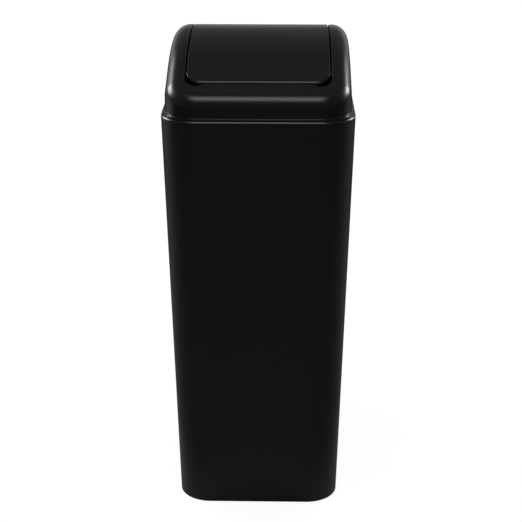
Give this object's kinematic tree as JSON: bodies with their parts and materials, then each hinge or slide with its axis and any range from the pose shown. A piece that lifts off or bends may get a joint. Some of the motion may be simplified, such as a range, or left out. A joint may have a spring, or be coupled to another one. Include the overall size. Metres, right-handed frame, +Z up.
{
  "type": "trash can",
  "caption": "Slim free-standing kitchen bin, narrow and deep, with tapered walls, rounded corners, an arched lid frame and a two-way swing flap flush with it.",
  "frame": {"origin": "on the floor, below the middle of the bin's foot", "axes": "+Z up, +X across the narrow front, to the right as seen from the front; the narrow front faces -Y"},
  "size_m": [0.254, 0.394, 0.6431],
  "materials": {
    "container": "fine satin moulded polypropylene, black",
    "lid_frame": "satin moulded polypropylene, black",
    "swing_flap": "satin moulded polypropylene, black"
  },
  "bodies": {
    "bin": {"container": "container"},
    "lid": {"lid_frame": "lid_frame"},
    "flap": {"swing_flap": "swing_flap"}
  },
  "joints": [
    {"name": "lid_lift", "type": "slide", "parent": "bin", "child": "lid", "axis": [0, 0, 1], "range_m": [0, 0.15]},
    {"name": "flap_swing", "type": "hinge", "parent": "lid", "child": "flap", "pos_m": [0, 0, 0.63212], "axis": [1, 0, 0], "range_deg": [-80, 80]}
  ]
}
